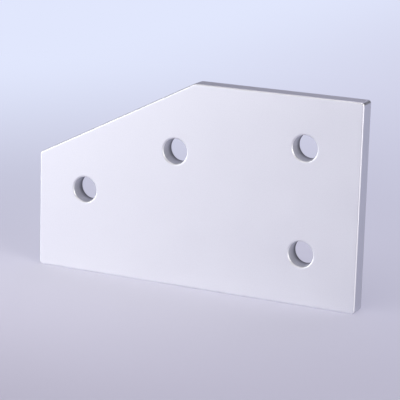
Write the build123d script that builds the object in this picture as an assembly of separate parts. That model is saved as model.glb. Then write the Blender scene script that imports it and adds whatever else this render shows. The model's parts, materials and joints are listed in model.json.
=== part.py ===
from build123d import *
from math import atan2, cos, degrees, tan
import os

# A flat joining plate for slotted framing profiles: a square corner with one sloped shoulder, so
# that a sloping brace can be screwed to an upright profile. It is a single piece of aluminium
# plate, cut to a five-sided outline, drilled through for four screws and tumbled, which rounds
# its edges and the rims of its holes.
#
# The plate stands on its long bottom edge. X runs along that edge, Y through the thickness, with
# the face that takes the screw heads towards -Y, and Z points up. The origin is the middle of
# the bottom edge. Outlines and holes are laid out in the plate's front view, as (X, Z).

# Driving dimensions, in millimetres

plate_length = 84.6         # along the bottom edge
plate_height = 50.2         # of the square end
plate_thickness = 4.76      # 3/16 inch plate
short_end_height = 28.8     # of the end below the slope
top_edge_length = 42.8      # from the square end to the top of the slope
corner_radius = 0.8         # where two edges of the outline meet
edge_rounding = 0.4         # tumbled edge round the outline, on both faces

hole_diameter = 6.2         # passes an M6 screw
rim_rounding = 0.4          # tumbled rim of each hole, on both faces

column_inset = 14.1         # from the square end to the line of the upright profile's two holes
column_start = 12.6         # from the bottom edge to the lower of those two holes
column_pitch = 25.4         # between them
row_inset = 12.9            # from the sloped edge, squarely, to the line of the brace's two holes
row_start = 12.7            # from the short end to the first hole of that line
row_pitch = 27.4            # between those two holes, along the slope

# Worked out from the sizes above

short_end = -plate_length / 2
square_end = plate_length / 2
top_edge_start = square_end - top_edge_length
slope = atan2(plate_height - short_end_height, top_edge_start - short_end)


def rounded_outline():
    """The five-sided outline with its corners rounded."""
    corners = [
        (short_end, 0),
        (square_end, 0),
        (square_end, plate_height),
        (top_edge_start, plate_height),
        (short_end, short_end_height),
    ]
    blank = make_face(Polyline(*corners, close=True))
    return fillet(blank.vertices(), corner_radius)


def column_holes():
    """The two holes over the upright profile's slot."""
    first = Pos(square_end - column_inset, column_start)
    return [first * Pos(0, step * column_pitch) for step in (0, 1)]


def row_holes():
    """The two holes over the brace's slot, on a line parallel to the sloped edge."""
    edge_height = short_end_height + row_start * tan(slope)
    first_height = edge_height - row_inset / cos(slope)
    first = Pos(short_end + row_start, first_height) * Rot(0, 0, degrees(slope))
    return [first * Pos(step * row_pitch, 0) for step in (0, 1)]


def joining_plate():
    """The finished plate: cut out, drilled, and tumbled round at its rims and edges."""
    front_view = rounded_outline()
    for place in column_holes() + row_holes():
        front_view -= place * Circle(hole_diameter / 2)
    plate = extrude(Plane.XZ * front_view, plate_thickness / 2, both=True)

    flat_faces = plate.faces().filter_by(Axis.Y)
    hole_rims = [edge for face in flat_faces for wire in face.inner_wires() for edge in wire.edges()]
    plate = fillet(hole_rims, rim_rounding)

    flat_faces = plate.faces().filter_by(Axis.Y)
    outer_edges = [edge for face in flat_faces for edge in face.outer_wire().edges()]
    return fillet(outer_edges, edge_rounding)


os.makedirs("parts", exist_ok=True)
export_step(joining_plate(), "parts/joining_plate.step")
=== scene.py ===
import json
import math

import bpy
from mathutils import Matrix, Vector


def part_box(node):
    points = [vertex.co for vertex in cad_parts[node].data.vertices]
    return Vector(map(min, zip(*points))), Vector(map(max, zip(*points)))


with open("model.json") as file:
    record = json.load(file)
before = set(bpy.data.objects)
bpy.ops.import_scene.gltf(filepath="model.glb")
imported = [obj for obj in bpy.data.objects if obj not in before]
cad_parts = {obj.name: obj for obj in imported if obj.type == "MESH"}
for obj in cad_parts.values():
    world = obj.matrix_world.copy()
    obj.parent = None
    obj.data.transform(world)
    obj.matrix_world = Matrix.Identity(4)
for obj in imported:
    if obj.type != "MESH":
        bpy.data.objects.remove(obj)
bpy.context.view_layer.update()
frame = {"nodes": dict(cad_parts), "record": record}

# A joining plate for slotted framing profiles: one piece of aluminium plate, cut to outline,
# drilled, tumbled with stones and clear anodised. It stands on its long bottom edge on pale studio
# paper, among five soft lights. Lengths are metres, unless a name says otherwise.

MM = 0.001

plate = frame["nodes"]["joining_plate"]
low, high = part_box("joining_plate")
middle = (low + high) / 2
thickness = (high - low).y
drilled_holes = [mount for mount in frame["record"]["mounts"] if mount["kind"] == "bore"]


# Camera: a long lens, a little above the plate and towards its square end

LENS_MM = 171.2
SENSOR_MM = 36.0
CAMERA_DISTANCE = 0.4572
CAMERA_AZIMUTH = math.radians(25.28)    # from straight in front, towards +X
CAMERA_ELEVATION = math.radians(13.84)
CAMERA_ROLL = math.radians(1.62)
AIM = Vector((0.7 * MM, 0, 21.6 * MM))  # just below the plate's middle


# Paper: a painted pool of light, palest at the foot of the plate, towards the short end, and
# duller out from there. Far from the plate it fades into painted studio light, which is brighter
# on the key light's side.

PAPER_IN_PAINTED_POOL = "#F6F4FF"
PAPER_OUTSIDE_PAINTED_POOL = "#CECBDA"
PAINTED_POOL_CENTRE = (-32 * MM, 0, 0)
PAINTED_POOL_REACH = 120 * MM
STUDIO_BRIGHT = "#E1E7FD"               # on the key light's side
STUDIO_DIM = "#D0D1E7"                  # on the other side
BRIGHT_UP_TO = -200 * MM                # along X
DIM_FROM = 0.0                          # along X
FADE_CENTRE = (-25 * MM, -200 * MM, 0)  # in front of the plate, where nothing has faded yet
FADE_REACH = 500 * MM                   # from that centre to where the paper has faded away
FLOOR_SIDE = 20.0


# Faint light from all round the studio

WORLD_COLOUR = "#F1F1FF"
WORLD_STRENGTH = 0.07


# Marks on the metal, by their spacing. The real grain and lines are 0.02 to 0.1 mm apart, too fine
# to show, so each is drawn a few times coarser.

GRAIN = 0.30 * MM           # etched grain
ROLLING_LINE = 0.35 * MM    # across the rolling direction, which is along X
CLOUD = 9.0 * MM            # slow unevenness of the etch
CUTTER_LINE = 0.35 * MM     # left by the cutter that shaped the outline
DRILL_RING = 0.45 * MM      # left by each turn of the drill

ALONG_ROLLING = (0.04, 1, 1)    # draws rolling lines 25 times as long as they are wide
THROUGH_PLATE = (1, 0.06, 1)    # draws cutter lines through the whole thickness
WAVE_PERIOD = math.tau / 20     # of a wave texture whose scale is 1

# How high each mark stands, and how strongly that shows

GRAIN_HEIGHT = 0.02 * MM
GRAIN_STRENGTH = 0.25
ROLLING_HEIGHT = 0.02 * MM
ROLLING_STRENGTH = 0.15
CUTTING_HEIGHT = 0.03 * MM
CUTTING_STRENGTH = 0.5


# Zones of the plate, each with where it starts and where it is complete. The first two go by how
# squarely the metal faces along Y: 1 on the two faces, 0 on the cut edges and in the holes.

EDGE_STARTS = 0.995             # the rounding, from just off the flat face
EDGE_COMPLETE = 0.8
CUT_STARTS = 0.25               # the outline's edges and the holes
CUT_COMPLETE = 0.03
HOLE_STARTS = 0.35 * MM         # outside a hole's wall, on its rounded rim
HOLE_COMPLETE = 0.15 * MM
UNPOLISHED_SHADED_STARTS = 0.1 * MM    # below the face, in a hole
UNPOLISHED_SHADED_COMPLETE = 0.5 * MM
# Painted shade deep in the holes, towards the back face:
PAINTED_HOLE_SHADE_STARTS = 0.0            # half way through the plate, along Y
PAINTED_HOLE_SHADE_COMPLETE = 2.0 * MM

# Colour and roughness of each zone

FACE_HOLLOW_COLOUR = "#E8E8ED"      # between the grain
FACE_GRAIN_COLOUR = "#F1F1F5"       # on top of it
# Brighter than the faces: partly burnished metal, partly a painted highlight on the rounded edges
# and hole rims
EDGE_BURNISH_AND_HIGHLIGHT_COLOUR = "#F5F5F7"
# A little darker than the faces: painted shade on the cut edges
CUT_PAINTED_SHADE_COLOUR = "#DBDCE3"
# The holes' colours are darker than the faces: partly the duller drilled metal, partly painted
# shade inside the holes
HOLE_GROOVE_COLOUR = "#CBCCD4"      # between the drill's rings
HOLE_RING_COLOUR = "#DBDCE2"        # on top of them
PAINTED_HOLE_SHADE_COLOUR = "#9A9BA2"          # painted shade, darkest where the holes reach the back face

FACE_LEAST_ROUGHNESS = 0.48
FACE_MOST_ROUGHNESS = 0.53
ROLLING_ROUGHNESS = 0.04            # added to the face by its rolling lines, at most
EDGE_ROUGHNESS = 0.52
CUT_ROUGHNESS = 0.5
UNPOLISHED_ROUGHNESS = 0.8

CLOUD_LOW = 0.3     # a noise texture seldom goes below this
CLOUD_HIGH = 0.7    # or above this


def direction(azimuth, elevation):
    """Unit vector from the plate towards an azimuth round from the front and an elevation."""
    flat = math.cos(elevation)
    return Vector((math.sin(azimuth) * flat, -math.cos(azimuth) * flat, math.sin(elevation)))


def make_camera():
    """The camera, turned to AIM and rolled about its line of sight."""
    data = bpy.data.cameras.new("camera")
    data.lens = LENS_MM
    data.sensor_width = SENSOR_MM
    data.clip_start = 10 * MM
    data.clip_end = FLOOR_SIDE
    camera = bpy.data.objects.new("camera", data)
    bpy.context.collection.objects.link(camera)
    away = direction(CAMERA_AZIMUTH, CAMERA_ELEVATION)
    look = (-away).to_track_quat("-Z", "Y").to_matrix()
    camera.matrix_world = (
        Matrix.Translation(AIM + away * CAMERA_DISTANCE)
        @ (look @ Matrix.Rotation(CAMERA_ROLL, 3, "Z")).to_4x4()
    )
    bpy.context.scene.camera = camera


# Colour and shader nodes. A Mix node has several sockets of one name, so they go by number: 0 is
# the share of the second, 2 and 3 are two numbers, and 6 and 7 are two colours. Its output 0 is
# the number, and its output 2 the colour.

NUMBERS = {"data_type": "FLOAT"}
COLOURS = {"data_type": "RGBA"}
SMOOTH = {"interpolation_type": "SMOOTHSTEP"}
MULTIPLY = {"operation": "MULTIPLY"}
ABSOLUTE = {"operation": "ABSOLUTE"}
DISTANCE = {"operation": "DISTANCE"}


def linear(hex_colour):
    """An sRGB hex colour as linear RGBA."""
    channels = [int(hex_colour[i:i + 2], 16) / 255 for i in (1, 3, 5)]
    return [c / 12.92 if c <= 0.04045 else ((c + 0.055) / 1.055) ** 2.4 for c in channels] + [1]


def add(tree, kind, settings=None, **inputs):
    """Adds a shader node, with values for its sockets or sockets to link to them.

    An input is named after its socket, with _ for a space, or is _ and the socket's number.
    """
    node = tree.nodes.new(kind)
    for name, value in (settings or {}).items():
        setattr(node, name, value)
    for name, value in inputs.items():
        key = int(name[1:]) if name[1:].isdigit() else name.replace("_", " ")
        if isinstance(value, bpy.types.NodeSocket):
            tree.links.new(value, node.inputs[key])
        else:
            node.inputs[key].default_value = value
    return node


def new_material(name):
    """A material with an empty node tree, and that tree."""
    material = bpy.data.materials.new(name)
    material.use_nodes = True
    material.node_tree.nodes.clear()
    return material, material.node_tree


def clear_anodised_aluminium():
    """Rolled aluminium plate, cut and drilled, tumbled with stones, etched and clear anodised.

    Etching leaves a fine even grain under a clear oxide film, so the plate is pale and satin, with
    no mirror in it. Tumbling burnishes its edges and hole rims; their brighter colour is partly
    that burnish and partly a painted highlight. The cut edges are a little darker, a painted shade.
    Tumbling hardly reaches into the drilled holes, which stay rougher and ringed by the drill;
    their darker colour is partly the duller drilled metal and partly painted shade, deepest towards
    the back face.
    """
    material, tree = new_material("clear_anodised_aluminium")
    place = add(tree, "ShaderNodeTexCoord").outputs["Object"]
    across = add(tree, "ShaderNodeSeparateXYZ", Vector=place).outputs["Y"]

    # Cut surfaces and rounded edges, by how far the metal faces along Y
    normal = add(tree, "ShaderNodeNewGeometry").outputs["Normal"]
    normal_y = add(tree, "ShaderNodeSeparateXYZ", Vector=normal).outputs["Y"]
    facing = add(tree, "ShaderNodeMath", ABSOLUTE, _0=normal_y).outputs["Value"]
    cut = add(
        tree, "ShaderNodeMapRange", SMOOTH,
        Value=facing, From_Min=CUT_STARTS, From_Max=CUT_COMPLETE,
    ).outputs["Result"]
    edge = add(
        tree, "ShaderNodeMapRange", SMOOTH,
        Value=facing, From_Min=EDGE_STARTS, From_Max=EDGE_COMPLETE,
    ).outputs["Result"]

    # The holes, by distance out from the nearest one's wall
    in_view = add(tree, "ShaderNodeVectorMath", MULTIPLY, _0=place, _1=(1, 0, 1)).outputs["Vector"]
    from_wall = None
    for hole in drilled_holes:
        x, _, z = hole["pos_m"]
        from_axis = add(
            tree, "ShaderNodeVectorMath", DISTANCE, _0=in_view, _1=(x, 0, z),
        ).outputs["Value"]
        from_this_wall = add(
            tree, "ShaderNodeMath", {"operation": "SUBTRACT"},
            _0=from_axis, _1=hole["dims"]["r_mm"] * MM,
        ).outputs["Value"]
        if from_wall is None:
            from_wall = from_this_wall
        else:
            from_wall = add(
                tree, "ShaderNodeMath", {"operation": "MINIMUM"}, _0=from_wall, _1=from_this_wall,
            ).outputs["Value"]
    near_wall = add(
        tree, "ShaderNodeMapRange", SMOOTH,
        Value=from_wall, From_Min=HOLE_STARTS, From_Max=HOLE_COMPLETE,
    ).outputs["Result"]
    drilled = add(tree, "ShaderNodeMath", MULTIPLY, _0=near_wall, _1=cut).outputs["Value"]

    # Tumbling stones only just reach round the rims into each hole, from both faces. Deeper in, the
    # holes get rougher metal and a darker colour, partly painted shade
    off_middle = add(tree, "ShaderNodeMath", ABSOLUTE, _0=across).outputs["Value"]
    inside = add(
        tree, "ShaderNodeMapRange", SMOOTH,
        Value=off_middle,
        From_Min=thickness / 2 - UNPOLISHED_SHADED_STARTS,
        From_Max=thickness / 2 - UNPOLISHED_SHADED_COMPLETE,
    ).outputs["Result"]
    unpolished_and_shaded = add(tree, "ShaderNodeMath", MULTIPLY, _0=drilled, _1=inside).outputs["Value"]

    # Grain, rolling lines and slow unevenness of the etched skin
    grain = add(
        tree, "ShaderNodeTexNoise", Vector=place, Scale=1 / GRAIN, Detail=3.0, Roughness=0.6,
    ).outputs["Fac"]
    stretched = add(
        tree, "ShaderNodeVectorMath", MULTIPLY, _0=place, _1=ALONG_ROLLING,
    ).outputs["Vector"]
    rolling = add(
        tree, "ShaderNodeTexNoise", Vector=stretched, Scale=1 / ROLLING_LINE, Detail=2.0,
    ).outputs["Fac"]
    clouds = add(
        tree, "ShaderNodeTexNoise", Vector=place, Scale=1 / CLOUD, Detail=2.0,
    ).outputs["Fac"]

    # Cutter lines on the outline's edges run through the thickness, and drill rings round the holes
    upright = add(
        tree, "ShaderNodeVectorMath", MULTIPLY, _0=place, _1=THROUGH_PLATE,
    ).outputs["Vector"]
    cutter = add(
        tree, "ShaderNodeTexNoise", Vector=upright, Scale=1 / CUTTER_LINE, Detail=2.0,
    ).outputs["Fac"]
    rings = add(
        tree, "ShaderNodeTexWave", {"wave_type": "BANDS", "bands_direction": "Y"},
        Vector=place, Scale=WAVE_PERIOD / DRILL_RING,
        Distortion=1.2, Detail=2.0, Detail_Scale=1.5,
    ).outputs["Fac"]
    marks = add(tree, "ShaderNodeMix", NUMBERS, _0=near_wall, _2=cutter, _3=rings).outputs[0]

    # Colour
    colour = add(
        tree, "ShaderNodeMix", COLOURS,
        _0=grain, _6=linear(FACE_HOLLOW_COLOUR), _7=linear(FACE_GRAIN_COLOUR),
    ).outputs[2]
    # Edges and hole rims get a brighter colour, partly burnish and partly painted highlight; cut
    # edges get a darker one, which is painted shade
    for zone, zone_colour in ((edge, EDGE_BURNISH_AND_HIGHLIGHT_COLOUR), (cut, CUT_PAINTED_SHADE_COLOUR)):
        colour = add(
            tree, "ShaderNodeMix", COLOURS, _0=zone, _6=colour, _7=linear(zone_colour),
        ).outputs[2]
    # Hole walls: drill rings, darker partly as duller metal and partly as painted shade
    wall = add(
        tree, "ShaderNodeMix", COLOURS,
        _0=rings, _6=linear(HOLE_GROOVE_COLOUR), _7=linear(HOLE_RING_COLOUR),
    ).outputs[2]
    # Painted shade deep in each hole, darkening its wall from half way through towards the back
    # face
    painted_hole_shade = add(
        tree, "ShaderNodeMapRange", SMOOTH,
        Value=across, From_Min=PAINTED_HOLE_SHADE_STARTS, From_Max=PAINTED_HOLE_SHADE_COMPLETE,
    ).outputs["Result"]
    wall = add(
        tree, "ShaderNodeMix", COLOURS, _0=painted_hole_shade, _6=wall, _7=linear(PAINTED_HOLE_SHADE_COLOUR),
    ).outputs[2]
    colour = add(tree, "ShaderNodeMix", COLOURS, _0=unpolished_and_shaded, _6=colour, _7=wall).outputs[2]

    # Sheen
    sheen = add(
        tree, "ShaderNodeMapRange",
        Value=clouds, From_Min=CLOUD_LOW, From_Max=CLOUD_HIGH,
        To_Min=FACE_LEAST_ROUGHNESS, To_Max=FACE_MOST_ROUGHNESS,
    ).outputs["Result"]
    sheen = add(
        tree, "ShaderNodeMath", {"operation": "MULTIPLY_ADD"},
        _0=rolling, _1=ROLLING_ROUGHNESS, _2=sheen,
    ).outputs["Value"]
    for zone, roughness in (
        (edge, EDGE_ROUGHNESS), (cut, CUT_ROUGHNESS), (unpolished_and_shaded, UNPOLISHED_ROUGHNESS),
    ):
        sheen = add(tree, "ShaderNodeMix", NUMBERS, _0=zone, _2=sheen, _3=roughness).outputs[0]

    # Relief
    skin = add(
        tree, "ShaderNodeBump", Height=grain, Strength=GRAIN_STRENGTH, Distance=GRAIN_HEIGHT,
    ).outputs["Normal"]
    skin = add(
        tree, "ShaderNodeBump",
        Height=rolling, Strength=ROLLING_STRENGTH, Distance=ROLLING_HEIGHT, Normal=skin,
    ).outputs["Normal"]
    strength = add(
        tree, "ShaderNodeMath", MULTIPLY, _0=cut, _1=CUTTING_STRENGTH,
    ).outputs["Value"]
    skin = add(
        tree, "ShaderNodeBump",
        Height=marks, Strength=strength, Distance=CUTTING_HEIGHT, Normal=skin,
    ).outputs["Normal"]

    metal = add(
        tree, "ShaderNodeBsdfPrincipled",
        Base_Color=colour, Metallic=1.0, Roughness=sheen, Normal=skin,
    ).outputs["BSDF"]
    add(tree, "ShaderNodeOutputMaterial", Surface=metal)
    return material


def studio_paper():
    """Pale matt paper with a painted pool of light at the plate's foot, which far from the plate
    fades into painted studio light behind it.

    The fade is seen directly and in the metal, and lights nothing, so the plate keeps its shadow,
    though the fade already lies over part of that shadow behind the square end and lightens it.
    """
    material, tree = new_material("studio_paper")
    place = add(tree, "ShaderNodeTexCoord").outputs["Object"]

    # Painted pool of light: the paper's colour is palest round the foot of the plate and duller out
    # from there
    from_painted_pool = add(
        tree, "ShaderNodeVectorMath", DISTANCE, _0=place, _1=PAINTED_POOL_CENTRE,
    ).outputs["Value"]
    outside_painted_pool = add(
        tree, "ShaderNodeMapRange", SMOOTH, Value=from_painted_pool, From_Min=0.0, From_Max=PAINTED_POOL_REACH,
    ).outputs["Result"]
    paper_with_painted_pool = add(
        tree, "ShaderNodeMix", COLOURS, _0=outside_painted_pool, _6=linear(PAPER_IN_PAINTED_POOL), _7=linear(PAPER_OUTSIDE_PAINTED_POOL),
    ).outputs[2]
    paper = add(
        tree, "ShaderNodeBsdfPrincipled", Base_Color=paper_with_painted_pool, Roughness=0.9, Specular_IOR_Level=0.1,
    ).outputs["BSDF"]

    # Painted studio light: an emission, not a lamp, brighter on the key light's side. Its centre
    # lies far in front of the plate, so it also lightens the plate's shadow behind the square end.
    from_fade = add(
        tree, "ShaderNodeVectorMath", DISTANCE, _0=place, _1=FADE_CENTRE,
    ).outputs["Value"]
    faded = add(
        tree, "ShaderNodeMapRange", SMOOTH, Value=from_fade, From_Min=0.0, From_Max=FADE_REACH,
    ).outputs["Result"]
    along = add(tree, "ShaderNodeSeparateXYZ", Vector=place).outputs["X"]
    dimmed = add(
        tree, "ShaderNodeMapRange", SMOOTH, Value=along, From_Min=BRIGHT_UP_TO, From_Max=DIM_FROM,
    ).outputs["Result"]
    painted_studio_tone = add(
        tree, "ShaderNodeMix", COLOURS,
        _0=dimmed, _6=linear(STUDIO_BRIGHT), _7=linear(STUDIO_DIM),
    ).outputs[2]
    studio = add(tree, "ShaderNodeEmission", Color=painted_studio_tone).outputs["Emission"]

    rays = add(tree, "ShaderNodeLightPath").outputs
    seen = rays["Is Camera Ray"]
    for ray in ("Is Glossy Ray", "Is Transmission Ray"):
        seen = add(
            tree, "ShaderNodeMath", {"operation": "MAXIMUM"}, _0=seen, _1=rays[ray],
        ).outputs["Value"]
    amount = add(tree, "ShaderNodeMath", MULTIPLY, _0=seen, _1=faded).outputs["Value"]
    mixed = add(tree, "ShaderNodeMixShader", _0=amount, _1=paper, _2=studio).outputs["Shader"]
    add(tree, "ShaderNodeOutputMaterial", Surface=mixed)
    return material


def make_floor():
    """A flat square of studio paper, with the plate at its middle."""
    mesh = bpy.data.meshes.new("floor")
    half = FLOOR_SIDE / 2
    corners = [(-half, -half, 0), (half, -half, 0), (half, half, 0), (-half, half, 0)]
    mesh.from_pydata(corners, [], [(0, 1, 2, 3)])
    mesh.materials.append(studio_paper())
    floor = bpy.data.objects.new("floor", mesh)
    bpy.context.collection.objects.link(floor)


def soft_light(name, azimuth, elevation, distance, size, watts, colour):
    """A rectangular area light, turned to the plate's middle. Azimuth and elevation are degrees."""
    data = bpy.data.lights.new(name, "AREA")
    data.shape = "RECTANGLE"
    data.size, data.size_y = size
    data.energy = watts
    data.color = linear(colour)[:3]
    light = bpy.data.objects.new(name, data)
    bpy.context.collection.objects.link(light)
    away = direction(math.radians(azimuth), math.radians(elevation))
    light.location = middle + away * distance
    light.rotation_mode = "QUATERNION"
    light.rotation_quaternion = away.to_track_quat("Z", "Y")


def make_lights():
    """The key light on the front face, and four weaker ones on the edges and the paper."""
    soft_light(
        "key", azimuth=-50, elevation=6, distance=1.3, size=(0.58, 0.26),
        watts=8.05, colour="#FAFBFC",
    )
    soft_light(
        "right", azimuth=65, elevation=14, distance=0.7, size=(0.4, 0.36),
        watts=2.72, colour="#FFFCFA",
    )
    soft_light(
        "overhead", azimuth=0, elevation=60, distance=0.7, size=(0.5, 0.5),
        watts=1.65, colour="#FCFAFD",
    )
    soft_light(
        "behind", azimuth=180, elevation=60, distance=0.7, size=(0.5, 0.5),
        watts=1.38, colour="#EBE8FF",
    )
    soft_light(
        "left", azimuth=-125, elevation=12, distance=0.9, size=(0.5, 0.3),
        watts=1.1, colour="#EBEAFF",
    )


def make_world():
    """A faint even light from all round."""
    world = bpy.data.worlds.new("studio")
    bpy.context.scene.world = world
    world.use_nodes = True
    background = world.node_tree.nodes["Background"]
    background.inputs["Color"].default_value = linear(WORLD_COLOUR)
    background.inputs["Strength"].default_value = WORLD_STRENGTH


make_camera()
make_world()
make_lights()
bpy.context.scene.view_settings.view_transform = "Standard"

make_floor()
plate.material_slots[0].material = clear_anodised_aluminium()
